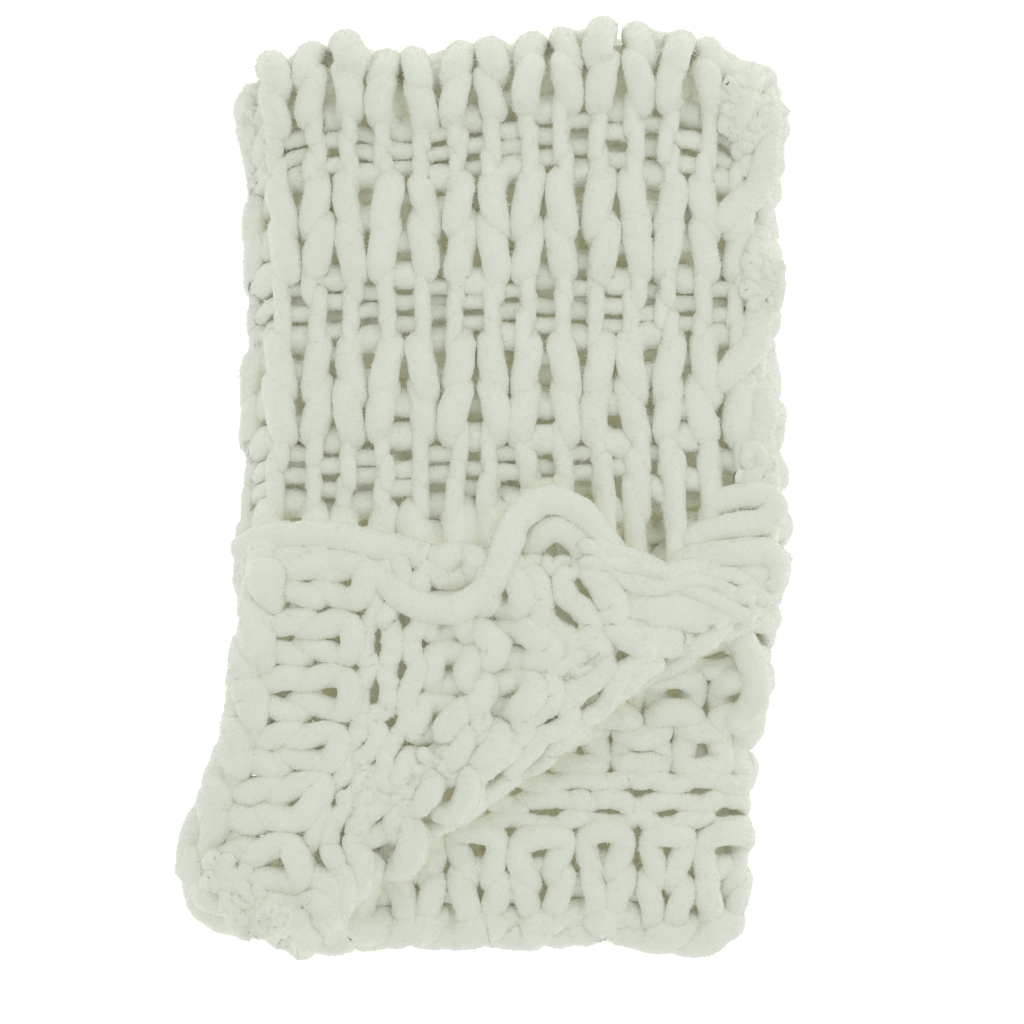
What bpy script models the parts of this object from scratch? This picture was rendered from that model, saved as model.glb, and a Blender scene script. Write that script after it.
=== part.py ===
"""A chunky hand-knitted throw, folded and laid flat with one corner turned back.

Run with: blender --background --python part.py
Metres, +Z up. X runs across the folded throw, Y along it towards the cross fold, and the origin is the middle
of the flat face that it rests on.

The cloth is one knitted piece. It is folded in thirds across its width, back and forth, and the strip is
folded in half along its length. One corner of the top layer is turned back over it, which shows the cloth's
other face there and the inside of the layer below. Every point of the cloth is named by its place in the flat
cloth: across, from the top layer's free side, up, from that layer's free end, and out, from the middle of the
cloth's thickness towards its knit face.
"""

import math

import bmesh
import bpy
import numpy as np

# The knit's gauge: bands of thick rows alternate with bands of thin rows
WALE = 0.056  # width of one stitch
WALES = 22
END_ROWS = (0.062, 0.040)  # heights of the two thick rows beside each end
THICK_ROWS = (0.038, 0.038)
THIN_ROWS = (0.0175, 0.0175, 0.0175)
INNER_BANDS = 10  # thick bands between the two end bands
WIDTH = WALE * WALES

# The folds
LAYER = 0.026  # from one layer's middle to the next
CLOTH = 0.022  # thickness of the cloth at the top of its stitches
BEND = LAYER / 2  # radius of a fold, to the middle of the cloth
LAYERS = 6
TURN = math.pi * BEND  # cloth that goes round one fold
PANEL = (WIDTH - 2 * TURN) / 3  # flat width of a layer
FREE_SIDE_OUT = 0.014  # the outer layers' free sides spread this far past the fold below
CROSS_Y = 0.3146  # where the cross fold starts to curve
CROSS_ROUND = 0.026  # the cross fold is round up to this height, and flatter past it
CROSS_FLAT = 0.40  # share of further height that still adds to its reach
END_Y = -0.366  # free ends of the layers

# How the stack settles
NARROW = 0.11  # share of the width lost at the free ends
NARROW_Y = -0.060  # the narrowing starts here
SIDE_FALL = 0.13  # share of the height lost at the sides
END_FALL = 0.10  # share of the height lost at the free ends
CORNER_CUT = 0.020  # the cross fold's corners are drawn in by this

# The turned corner: how far up the cloth its crease starts and where that comes to lie, and what the cloth
# past the crease points at, for cloth at these places across
TURNED_WALES = (
    # across, up, crease x, crease y, towards x, towards y
    (0.000, 0.354, 0.197, -0.066, -0.207, -0.044),
    (0.079, 0.338, 0.122, -0.119, -0.221, -0.108),
    (0.158, 0.312, 0.046, -0.171, -0.226, -0.172),
    (0.237, 0.288, -0.029, -0.222, -0.253, -0.234),
    (0.270, 0.262, -0.061, -0.245, -0.264, -0.266),
    (0.300, 0.235, -0.092, -0.268, -0.268, -0.300),
    (0.330, 0.179, -0.130, -0.298, -0.258, -0.328),
    (0.345, 0.148, -0.150, -0.318, -0.244, -0.340),
    (0.382, 0.000, -0.178, -0.360, -0.260, -0.380),
)
TURNED_ACROSS = 0.345  # the turned corner reaches this far across, to its low side
# How far cloth lies from the turned free end, for cloth this far up: the knit is stretched near the crease
TURNED_STRETCH = ((0.000, 0.102, 0.154, 0.230, 0.282, 0.310), (0.000, 0.107, 0.158, 0.217, 0.300, 0.466))
FITTED_LENGTHS = (0.09, 0.13)  # past these lengths cloth starts to, and fully, fits its free end's place
CREASE_ROLL = 0.054  # cloth that goes round the crease, at a slant to the stitches
HIDDEN_Y = -0.050  # the top layer's cloth beyond this lies under the turned corner and gives with its crease
LEAST_GIVE = 0.060  # over at least this length
CREASE_OVERLAP = 0.010  # the turned corner's solid starts this far before the crease, inside the top layer's
CREASE_THIN = 0.7  # and at this share of its thickness
OVERHANG_FALL = 0.70  # how steeply the turned corner hangs past the stack's side

# The stitches raised in the faces that show
STITCH_DEPTH = 0.008  # from the top of a stitch to the valley beside it
LEG_WIDTH = 0.027
LEG_FOOT = 0.007  # from the middle of a stitch to its leg, at the stitch's foot
LEG_HEAD = 0.020  # and at its head
THIN_LEG = 0.014
THIN_LEG_WIDTH = 0.018
THIN_DROP = 0.003  # the thin rows lie this much lower
LOOP_WIDTH = 0.032
LOOP_SWAY = 0.008  # how far the loops of the other face swing each side of their row's edge

# The mesh: lattice lines across and along each layer, and how many make one plain face where no stitches show
LINES_PER_WALE = 6
ACROSS_PLAIN = 6
FOLD_LINES = 5
CORNER_LINES = 20
CORNER_PLAIN = 5
CREASE_LINES = 5
LOW_LINES = 24  # from the crease or the free end to the lowest row that shows on the top layer
LOW_PLAIN = 4
FIRST_SHOWN_ROW = len(END_ROWS) + 2 * len(THIN_ROWS) + 2 * len(THICK_ROWS)
THICK_SHARES = (0.15, 0.5, 0.85)  # lines in each thick row that shows
SHOWN_BANDS = 2  # thick bands on the top layer between the turned corner and the cross fold
CROSS_LINES = 12
LOWER_LINES = 6
SEAM_MERGE = 0.001

YARN_COLOUR = (0.80, 0.82, 0.74, 1.0)


def row_heights():
    """(height, is thick) of every row, from the top layer's free end."""
    thick = [(height, True) for height in THICK_ROWS]
    thin = [(height, False) for height in THIN_ROWS]
    first = [(height, True) for height in END_ROWS]
    return first + (thin + thick) * INNER_BANDS + thin + first[::-1]


ROWS = row_heights()
ROW_EDGES = np.concatenate([[0.0], np.cumsum([height for height, _ in ROWS])])
ROW_IS_THICK = np.array([is_thick for _, is_thick in ROWS])
LENGTH = float(ROW_EDGES[-1])


def smooth(low, high, value):
    """0 below low, 1 above high, and a smooth step between them."""
    t = np.clip((value - low) / (high - low), 0.0, 1.0)
    return t * t * (3.0 - 2.0 * t)


def across_strip(across, out):
    """x, the height above the strip's inner face, and that height in the middle of the cloth."""
    middles = [(LAYERS / 2 - 0.5 - k) * LAYER for k in range(3)]
    left = np.clip((across - PANEL) / BEND, 0.0, math.pi)
    second = across - PANEL - TURN
    right = np.clip((second - PANEL) / BEND, 0.0, math.pi)
    third = second - PANEL - TURN
    half = PANEL / 2
    spread = FREE_SIDE_OUT * (1 - across / PANEL)
    places = [
        (across <= PANEL, half - across + spread, middles[0] + out, middles[0] + 0 * out),
        (
            second <= 0,
            -half - (BEND + out) * np.sin(left),
            middles[1] + BEND + (BEND + out) * np.cos(left),
            middles[1] + BEND + BEND * np.cos(left),
        ),
        (second <= PANEL, second - half, middles[1] - out, middles[1] + 0 * out),
        (
            third <= 0,
            half + (BEND - out) * np.sin(right),
            middles[2] + BEND + (BEND - out) * np.cos(right),
            middles[2] + BEND + BEND * np.cos(right),
        ),
    ]
    last = (half - third, middles[2] + out, middles[2] + 0 * out)
    tests = [place[0] for place in places]
    return [np.select(tests, [place[1 + k] for place in places], last[k]) for k in range(3)]


def cross_reach(height):
    """How far the cross fold reaches past its start, at this height above the strip's inner face."""
    return np.minimum(height, CROSS_ROUND) + CROSS_FLAT * np.maximum(height - CROSS_ROUND, 0.0)


def cross_cloth(middle):
    """How much cloth lies before the cross fold, and how much goes round it."""
    flat = CROSS_Y - END_Y
    curve = math.pi * np.sqrt((cross_reach(middle) ** 2 + middle**2) / 2)
    scale = LENGTH / (2 * flat + curve)
    return flat * scale, curve * scale


def along_strip(height, middle, up):
    """y and z from the middle plane, once the strip is folded in half."""
    flat, curve = cross_cloth(middle)
    turn = np.clip((up - flat) / curve, 0.0, 1.0) * math.pi
    straight = (CROSS_Y - END_Y) / flat
    y = np.where(up < flat, END_Y + up * straight, CROSS_Y + cross_reach(height) * np.sin(turn))
    y = np.where(up > flat + curve, END_Y + (LENGTH - up) * straight, y)
    return y, height * np.cos(turn)


def narrow(x, y):
    """x and y once the stack has narrowed towards its free ends and at the cross fold's corners."""
    narrowed = x * (1 - NARROW * smooth(-NARROW_Y, -END_Y, -y))
    cut = CORNER_CUT * smooth(0.06, 0.22, np.abs(narrowed)) * smooth(0.16, 0.36, y)
    return narrowed, y - cut


def sag(x, y):
    """The share of its height that the stack keeps here: less at its sides and free ends."""
    side = np.clip(np.abs(x) / 0.22, 0.0, 1.3) ** 2
    end = np.clip((-y - 0.10) / 0.27, 0.0, 1.2) ** 2
    return 1 - SIDE_FALL * side - END_FALL * end


def lay(across, up, out):
    """x, y and the height before sagging of the cloth, before its corner is turned."""
    x, height, middle = across_strip(across, out)
    y, z = along_strip(height, middle, up)
    return *narrow(x, y), z + LAYERS / 2 * LAYER - (LAYER - CLOTH) / 2


def turned_wale(across):
    """The crease's x and y for cloth this far across, and the direction and length of the cloth past it."""
    table = np.array(TURNED_WALES)
    columns = [np.interp(across, table[:, 0], table[:, k]) for k in range(2, 6)]
    crease, aim = np.stack(columns[:2], axis=-1), np.stack(columns[2:], axis=-1)
    length = np.linalg.norm(aim - crease, axis=-1)
    return crease, (aim - crease) / length[..., None], length


def crease_up(across):
    """How far up the flat cloth the crease starts, for cloth this far across."""
    table = np.array(TURNED_WALES)
    return np.interp(across, table[:, 0], table[:, 1])


def crease_outward():
    """The direction across the crease, away from the turned cloth."""
    first, last = np.array(TURNED_WALES[0][2:4]), np.array(TURNED_WALES[-1][2:4])
    along = (last - first) / np.linalg.norm(last - first)
    return np.array([-along[1], along[0]])


OUTWARD = crease_outward()


def turned(across, up, out):
    """x, y and the height before sagging of the cloth past the crease."""
    crease, towards, length = turned_wale(across)
    start = crease_up(across)
    past = np.maximum(start - up, 0.0)
    angle = np.minimum(past / CREASE_ROLL, 1.0) * math.pi
    flat_up = np.maximum(start - CREASE_ROLL, 0.0)
    total = np.interp(flat_up, *TURNED_STRETCH)
    least, full = FITTED_LENGTHS
    fit = 1 + (length / np.maximum(total, least) - 1) * smooth(least, full, total)
    reach = (total - np.interp(np.minimum(up, flat_up), *TURNED_STRETCH)) * fit
    flat = crease + towards * reach[..., None]
    flat = flat + OUTWARD * ((BEND - out) * np.sin(angle))[..., None]
    sx, sy = flat[..., 0], flat[..., 1]
    top = (LAYERS - 0.5) * LAYER - (LAYER - CLOTH) / 2
    z = top + BEND - (BEND - out) * np.cos(angle)
    over = np.maximum(-side_x(sy) - sx, 0.0)
    return sx, sy, z - OVERHANG_FALL * over**2 / (over + 0.02)


def side_x(y):
    """Half the stack's width at this y."""
    half = PANEL / 2 + BEND + CLOTH / 2
    return half * (1 - NARROW * smooth(-NARROW_Y, -END_Y, -y))


def place(across, up, out):
    """x, y and z of any point of the folded cloth."""
    across, up, out = np.broadcast_arrays(*(np.asarray(value, float) for value in (across, up, out)))
    start = crease_up(np.minimum(across, PANEL))
    in_corner = (across < TURNED_WALES[-1][0]) & (up < start)
    x, y, z = lay(across, up, out)
    # The cloth before the crease is drawn to meet it
    crease, _, _ = turned_wale(across)
    foot = np.stack(lay(np.minimum(across, TURNED_WALES[-1][0]), start, 0 * out)[:2], axis=-1)
    gives = smooth(np.maximum(HIDDEN_Y, foot[..., 1] + LEAST_GIVE), foot[..., 1], y) * (up < LENGTH / 2)
    gives = gives * smooth(PANEL + TURN, TURNED_WALES[-1][0], across)
    pull = (crease - foot) * gives[..., None]
    laid = (x + pull[..., 0], y + pull[..., 1], z)
    x, y, z = (np.where(in_corner, a, b) for a, b in zip(turned(across, up, out), laid))
    return np.stack([x, y, z * sag(x, y)], axis=-1)


def row_place(up):
    """The row that each height is in, and the share of that row below it."""
    row = np.clip(np.searchsorted(ROW_EDGES, up, side="right") - 1, 0, len(ROWS) - 1)
    return row, (up - ROW_EDGES[row]) / (ROW_EDGES[row + 1] - ROW_EDGES[row])


def knit_relief(across, up):
    """Depth below the cloth's top on the knit face, where each stitch is a V of two legs."""
    row, share = row_place(up)
    thick = ROW_IS_THICK[row]
    from_middle = np.abs((across / WALE) % 1.0 - 0.5) * WALE
    leg = np.where(thick, LEG_FOOT + (LEG_HEAD - LEG_FOOT) * share, THIN_LEG)
    width = np.where(thick, LEG_WIDTH, THIN_LEG_WIDTH)
    ridge = np.maximum(1 - ((from_middle - leg) / (width / 2)) ** 2, 0.0)
    ridge = ridge * (0.45 + 0.55 * np.sin(math.pi * share))
    return STITCH_DEPTH * (1 - ridge) + np.where(thick, 0.0, THIN_DROP * ridge)


def loop_relief(across, up):
    """Depth below the cloth's top on the other face, where each row's loops arch over its edge."""
    sway = LOOP_SWAY * np.cos(2 * math.pi * across / WALE)
    nearest = np.full(up.shape, 1.0)
    for edge, thick in zip(ROW_EDGES[:-1], ROW_IS_THICK):
        width = LOOP_WIDTH if thick else LOOP_WIDTH / 2
        swing = sway if thick else sway / 3
        nearest = np.minimum(nearest, np.abs(up - edge - swing) / (width / 2))
    return STITCH_DEPTH * np.minimum(nearest, 1.0) ** 2


def spread(lines, bounds, low, high, count, plain):
    """Adds evenly spread lines and their plain faces' bounds."""
    first = len(lines) - 1
    lines.extend(low + (high - low) * step / count for step in range(1, count + 1))
    bounds.extend(range(first + plain, first + count, plain))
    bounds.append(first + count)


def stack_across():
    """Lattice places across the whole cloth, and the lines that bound its plain faces."""
    places, bounds = [0.0], [0]
    count = int(PANEL * LINES_PER_WALE / WALE)
    for layer in range(3):
        if layer:
            spread(places, bounds, places[-1], places[-1] + TURN, FOLD_LINES, 1)
        end = places[-1] + PANEL
        spread(places, bounds, places[-1], places[-1] + count * WALE / LINES_PER_WALE, count, ACROSS_PLAIN)
        spread(places, bounds, places[-1], end, 1, 1)
    return np.array(places), bounds


def shown_lines(lines, bounds, flat):
    """Adds lines set out by the rows that show on the top layer."""
    row = FIRST_SHOWN_ROW
    for number in range(2 * SHOWN_BANDS + 1):
        thick = number % 2 == 1
        shares = THICK_SHARES if thick else (1.0,)
        for _ in THICK_ROWS if thick else THIN_ROWS:
            low, high = ROW_EDGES[row], ROW_EDGES[row + 1]
            lines.extend(0 * flat + low + share * (high - low) for share in shares)
            row += 1
        bounds.append(len(lines) - 1)


def stack_up(across):
    """Lattice places up the cloth from the crease or free end, and the lines that bound its plain faces."""
    _, _, middle = across_strip(across, 0 * across)
    flat, curve = cross_cloth(middle)
    lines, bounds = [crease_up(across) * (across < TURNED_WALES[-1][0])], [0]
    spread(lines, bounds, lines[0], 0 * flat + ROW_EDGES[FIRST_SHOWN_ROW], LOW_LINES, LOW_PLAIN)
    shown_lines(lines, bounds, flat)
    spread(lines, bounds, lines[-1], flat, 1, 1)
    spread(lines, bounds, flat, flat + curve, CROSS_LINES, 1)
    spread(lines, bounds, flat + curve, 0 * flat + LENGTH, LOWER_LINES, 1)
    return np.stack(lines, axis=1), bounds


def corner_across():
    """Lattice places across the turned corner, and the lines that bound its plain faces."""
    places, bounds = [0.0], [0]
    count = int(TURNED_ACROSS * LINES_PER_WALE / WALE)
    spread(places, bounds, 0.0, TURNED_ACROSS, count, ACROSS_PLAIN)
    return np.array(places), bounds


def corner_up(across):
    """Lattice places up the turned corner from its free end, and the lines that bound its plain faces."""
    start = crease_up(across)
    lines, bounds = [0 * start], [0]
    spread(lines, bounds, lines[0], start - CREASE_ROLL, CORNER_LINES, CORNER_PLAIN)
    spread(lines, bounds, lines[-1], start, CREASE_LINES, 1)
    spread(lines, bounds, lines[-1], start + CREASE_OVERLAP, 1, 1)
    return np.stack(lines, axis=1), bounds


def shows_on_stack(across, up, knit_side):
    """Whether stitches show at this place of the stack, on the knit side or on the other."""
    x, y, _ = np.moveaxis(place(across, up, 0.0), -1, 0)
    if knit_side:
        return (across < PANEL) & (up < LENGTH * 0.52) & (y > HIDDEN_Y)
    first, last = TURNED_WALES[0], TURNED_WALES[-1]
    crease_y = np.interp(x, [last[2], first[2]], [last[3], first[3]])
    second = (across > PANEL + TURN) & (across < 2 * PANEL + TURN)
    return second & (y < crease_y + 0.01) & (up < LENGTH / 2)


def shows_on_corner(across, up, knit_side):
    """Whether stitches show at this place of the turned corner: only on the other side."""
    return (up < crease_up(across)) & (not knit_side)


def full_thickness(across, up):
    """The stack's cloth is as thick everywhere."""
    return 1.0 + 0.0 * across


def corner_thickness(across, up):
    """The turned corner starts thinner, inside the top layer."""
    start = crease_up(across)
    return CREASE_THIN + (1 - CREASE_THIN) * smooth(0.0, 0.4 * CREASE_ROLL, start - up)


def edge_points(a, b, used):
    """Lattice points in use from a up to but not including b, along one lattice line."""
    di, dj = np.sign(b[0] - a[0]), np.sign(b[1] - a[1])
    count = max(abs(b[0] - a[0]), abs(b[1] - a[1]))
    points = [(a[0] + di * k, a[1] + dj * k) for k in range(count)]
    return [point for point in points if point == a or point in used]


def outline(corners, used):
    """The loop of lattice points in use round these corners."""
    ends = corners[1:] + corners[:1]
    return [point for a, b in zip(corners, ends) for point in edge_points(a, b, used)]


class ClothMesh:
    """Builds one closed piece of cloth from its two sides and the rim between them."""

    def __init__(self, across_lines, up_lines, shows, thickness):
        self.across, self.across_bounds = across_lines()
        self.up, self.up_bounds = up_lines(self.across)
        self.shows = shows
        self.thickness = thickness
        self.mesh = bmesh.new()
        self.corners = {}

    def fine(self, knit_side, i0, i1, j0, j1):
        """Whether stitches show in this block of the lattice."""
        i = np.arange(i0, i1 + 1)
        across = np.repeat(self.across[i][:, None], j1 - j0 + 1, axis=1)
        return bool(np.any(self.shows(across, self.up[i, j0 : j1 + 1], knit_side)))

    def add_side(self, knit_side):
        """One side of the cloth."""
        blocks = [
            (i0, i1, j0, j1)
            for i0, i1 in zip(self.across_bounds, self.across_bounds[1:])
            for j0, j1 in zip(self.up_bounds, self.up_bounds[1:])
        ]
        cells = []
        for i0, i1, j0, j1 in blocks:
            if self.fine(knit_side, i0, i1, j0, j1):
                cells.extend((i, i + 1, j, j + 1) for i in range(i0, i1) for j in range(j0, j1))
            else:
                cells.append((i0, i1, j0, j1))
        used = sorted({(i, j) for cell in cells for i in cell[:2] for j in cell[2:]})
        self.corners[knit_side] = dict(zip(used, self.add_points(used, knit_side)))
        for i0, i1, j0, j1 in cells:
            loop = outline([(i0, j0), (i0, j1), (i1, j1), (i1, j0)], self.corners[knit_side])
            points = [self.corners[knit_side][point] for point in loop]
            self.add_face(points, ((i0 + i1) / 2, (j0 + j1) / 2), knit_side)

    def add_face(self, points, middle, knit_side):
        """Two triangles for a plain cell, or a fan round the middle of a cell whose neighbours are finer."""
        if len(points) == 4:
            self.mesh.faces.new(points[:3])
            self.mesh.faces.new((points[0], points[2], points[3]))
            return
        (centre,) = self.add_points([middle], knit_side)
        for a, b in zip(points, points[1:] + points[:1]):
            self.mesh.faces.new((a, b, centre))

    def add_points(self, keys, knit_side):
        """The mesh points of one side at these lattice places, which may lie halfway between lines."""
        i, j = np.array(keys).T
        i0, i1, j0, j1 = (half.astype(int) for half in (np.floor(i), np.ceil(i), np.floor(j), np.ceil(j)))
        across = (self.across[i0] + self.across[i1]) / 2
        up = (self.up[i0, j0] + self.up[i0, j1] + self.up[i1, j0] + self.up[i1, j1]) / 4
        relief = knit_relief(across, up) if knit_side else loop_relief(across, up)
        inner = (i > 0) & (i < self.across_bounds[-1]) & (j > 0) & (j < self.up_bounds[-1])
        raised = inner & self.shows(across, up, knit_side)
        out = (CLOTH / 2 - np.where(raised, relief, 0.0)) * self.thickness(across, up)
        return [self.mesh.verts.new(point) for point in place(across, up, out if knit_side else -out)]

    def add_rim(self):
        """The cloth's four sides, each face from one plain bound to the next."""
        last_i, last_j = self.across_bounds[-1], self.up_bounds[-1]
        runs = [((i0, 0), (i1, 0)) for i0, i1 in zip(self.across_bounds, self.across_bounds[1:])]
        runs += [((last_i, j0), (last_i, j1)) for j0, j1 in zip(self.up_bounds, self.up_bounds[1:])]
        runs += [((b[0], last_j), (a[0], last_j)) for a, b in runs if a[1] == 0 and b[1] == 0]
        runs += [((0, b), (0, a)) for a, b in zip(self.up_bounds, self.up_bounds[1:])]
        for a, b in runs:
            knit, other = (
                [self.corners[side][point] for point in edge_points(a, b, self.corners[side]) + [b]]
                for side in (True, False)
            )
            self.add_strip(knit, other)

    def add_strip(self, first, second):
        """Triangles between two runs of points that share their ends' places."""
        i = j = 0
        while i < len(first) - 1 or j < len(second) - 1:
            if (i + 1) * (len(second) - 1) <= (j + 1) * (len(first) - 1):
                self.mesh.faces.new((first[i], first[i + 1], second[j]))
                i += 1
            else:
                self.mesh.faces.new((first[i], second[j + 1], second[j]))
                j += 1

    def build(self, name):
        """The finished object."""
        self.add_side(True)
        self.add_side(False)
        self.add_rim()
        bmesh.ops.recalc_face_normals(self.mesh, faces=self.mesh.faces[:])
        data = bpy.data.meshes.new(name)
        self.mesh.to_mesh(data)
        self.mesh.free()
        cloth = bpy.data.objects.new(name, data)
        bpy.context.scene.collection.objects.link(cloth)
        return cloth


def join(cloth, other):
    """Joins the other solid to the cloth, removes it, and merges the seam's closest points."""
    joined = cloth.modifiers.new("joined", "BOOLEAN")
    joined.operation = "UNION"
    joined.solver = "EXACT"
    joined.object = other
    shape = bpy.data.meshes.new_from_object(cloth.evaluated_get(bpy.context.evaluated_depsgraph_get()))
    cloth.modifiers.clear()
    cloth.data = shape
    bpy.data.objects.remove(other, do_unlink=True)
    mesh = bmesh.new()
    mesh.from_mesh(shape)
    bmesh.ops.remove_doubles(mesh, verts=mesh.verts[:], dist=SEAM_MERGE)
    bmesh.ops.dissolve_degenerate(mesh, edges=mesh.edges[:], dist=SEAM_MERGE)
    bmesh.ops.triangulate(mesh, faces=mesh.faces[:])
    mesh.to_mesh(shape)
    mesh.free()


def yarn_material():
    """Off-white brushed yarn."""
    material = bpy.data.materials.new("yarn")
    material.use_nodes = True
    shader = material.node_tree.nodes["Principled BSDF"]
    shader.inputs["Base Color"].default_value = YARN_COLOUR
    shader.inputs["Roughness"].default_value = 0.95
    shader.inputs["Metallic"].default_value = 0.0
    return material


def main():
    for item in list(bpy.data.objects):
        bpy.data.objects.remove(item, do_unlink=True)
    blanket = ClothMesh(stack_across, stack_up, shows_on_stack, full_thickness).build("blanket")
    corner = ClothMesh(corner_across, corner_up, shows_on_corner, corner_thickness).build("corner")
    join(blanket, corner)
    blanket.data.materials.append(yarn_material())


main()
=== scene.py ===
"""A chunky hand-knitted throw, folded and laid flat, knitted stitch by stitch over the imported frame.

Metres, +Z up. Every yarn is a tube along the path that it takes through the stitches. Its points are named by
their place in the flat cloth: across from the top layer's free side, up from its free end, and out towards
the knit face. The CAD part's folds take them to their place in the stack.
"""

import math

import bpy
import numpy as np
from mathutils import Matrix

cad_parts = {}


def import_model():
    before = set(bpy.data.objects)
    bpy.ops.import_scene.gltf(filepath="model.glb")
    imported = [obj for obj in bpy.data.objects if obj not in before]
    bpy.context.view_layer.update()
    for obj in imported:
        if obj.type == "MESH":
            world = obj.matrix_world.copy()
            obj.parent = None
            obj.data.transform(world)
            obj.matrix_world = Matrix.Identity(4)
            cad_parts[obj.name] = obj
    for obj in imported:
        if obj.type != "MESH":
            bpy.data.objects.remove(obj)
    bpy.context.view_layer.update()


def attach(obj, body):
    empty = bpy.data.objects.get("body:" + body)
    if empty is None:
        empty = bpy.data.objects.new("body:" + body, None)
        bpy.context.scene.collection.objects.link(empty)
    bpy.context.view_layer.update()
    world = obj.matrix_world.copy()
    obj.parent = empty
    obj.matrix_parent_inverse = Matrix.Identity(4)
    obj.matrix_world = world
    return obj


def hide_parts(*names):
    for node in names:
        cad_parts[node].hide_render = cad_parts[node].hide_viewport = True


SEED = 7

# The knit's gauge: bands of thick rows alternate with bands of thin rows
WALE = 0.056  # width of one stitch
WALES = 22
END_ROWS = (0.062, 0.040)  # heights of the two thick rows beside each end
THICK_ROWS = (0.038, 0.038)
THIN_ROWS = (0.0175, 0.0175, 0.0175)
INNER_BANDS = 10  # thick bands between the two end bands
WIDTH = WALE * WALES

# The folds
LAYER = 0.026  # from one layer's middle to the next
CLOTH = 0.022  # thickness of the cloth at the top of its stitches
BEND = LAYER / 2  # radius of a fold, to the middle of the cloth
LAYERS = 6
TURN = math.pi * BEND  # cloth that goes round one fold
PANEL = (WIDTH - 2 * TURN) / 3  # flat width of a layer
FREE_SIDE_OUT = 0.007  # the outer layers' free sides spread this far past the fold below
CROSS_Y = 0.3146  # where the cross fold starts to curve
CROSS_ROUND = 0.026  # the cross fold is round up to this height, and flatter past it
CROSS_FLAT = 0.40  # share of further height that still adds to its reach
END_Y = -0.366  # free ends of the layers

# How the stack settles. A range says where a change starts and where it is complete.
NARROW = 0.11  # share of the width lost at the free ends
NARROW_Y = -0.060  # the narrowing starts here
CORNER_CUT = 0.020  # the cross fold's corners are drawn in by this
CORNER_CUT_X = (0.06, 0.22)  # from the middle outwards
CORNER_CUT_Y = (0.16, 0.36)
SIDE_FALL = 0.13  # share of the height lost at the sides
SIDE_FALL_X = 0.22  # the sides' distance from the middle
SIDE_FALL_END = 1.3  # the fall stops at this many times that distance
END_FALL = 0.10  # share of the height lost at the free ends
END_FALL_Y = -0.10  # the fall starts here
END_FALL_REACH = 0.27  # and has come to its share after this
END_FALL_END = 1.2  # and stops at this many times that length
FLOOR_SOFT = 0.004  # yarn nearer the floor than this is pressed flat against it

# The stack's uneven outline: how far its cross fold and its free ends stand out at these x
TOP_X = (
    *(-0.216, -0.192, -0.143, -0.120, -0.096, -0.070, -0.050),
    *(-0.020, 0.000, 0.046, 0.140, 0.165, 0.188, 0.212),
)
TOP_OUT = (
    *(-0.026, -0.002, 0.011, 0.004, -0.010, -0.013, -0.008),
    *(-0.004, 0.000, 0.006, 0.011, 0.010, -0.006, -0.018),
)
TOP_Y = (0.20, 0.34)
BOTTOM_X = (-0.180, -0.145, -0.095, -0.050, 0.020, 0.070, 0.095, 0.130, 0.160, 0.190)
BOTTOM_OUT = (0.000, 0.002, -0.004, -0.002, -0.004, -0.010, -0.006, 0.002, 0.003, -0.006)
BOTTOM_DOWN = (0.24, 0.35)  # from the middle towards the free ends
LOWER_RIGHT_IN = 0.010  # the free ends' right side is drawn in by this
LOWER_RIGHT_DOWN = (0.06, 0.18)
LOWER_RIGHT_X = (0.04, 0.20)
UPPER_IN = 0.035  # and the upper half's two sides by this share of their distance from the middle
UPPER_START = (-0.04, 0.10)
UPPER_STOP = (0.22, 0.32)

# The turned corner: how far up the cloth its crease starts and where that comes to lie, and what the cloth
# past the crease points at, for cloth at these places across
TURNED_WALES = (
    # across, up, crease x, crease y, towards x, towards y
    (0.000, 0.354, 0.197, -0.066, -0.207, -0.044),
    (0.079, 0.338, 0.122, -0.119, -0.221, -0.108),
    (0.158, 0.312, 0.046, -0.171, -0.226, -0.172),
    (0.237, 0.288, -0.029, -0.222, -0.245, -0.234),
    (0.270, 0.262, -0.061, -0.245, -0.260, -0.266),
    (0.300, 0.235, -0.092, -0.268, -0.268, -0.300),
    (0.330, 0.179, -0.130, -0.298, -0.258, -0.328),
    (0.345, 0.148, -0.150, -0.318, -0.244, -0.340),
    (0.382, 0.000, -0.180, -0.350, -0.260, -0.372),
)
# How far cloth lies from the turned free end, for cloth this far up: the knit is stretched near the crease
TURNED_STRETCH = ((0.000, 0.102, 0.154, 0.230, 0.282, 0.310), (0.000, 0.100, 0.148, 0.212, 0.280, 0.466))
FITTED_LENGTHS = (0.09, 0.13)  # past these lengths cloth starts to, and fully, fits its free end's place
END_ROWS_LAID = 0.10  # the rows this near the turned free end aren't stretched to fit
LEAST_FITTED = 0.01  # and all the cloth past them is, over at least this length
CREASE_ROLL = 0.054  # cloth that goes round the crease, at a slant to the stitches
HIDDEN_Y = -0.050  # the top layer's cloth beyond this lies under the turned corner and gives with its crease
LEAST_GIVE = 0.060  # over at least this length
OVERHANG_FALL = 0.70  # how steeply the turned corner hangs past the stack's side
OVERHANG_ROUND = 0.02  # and how gently that starts

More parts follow.
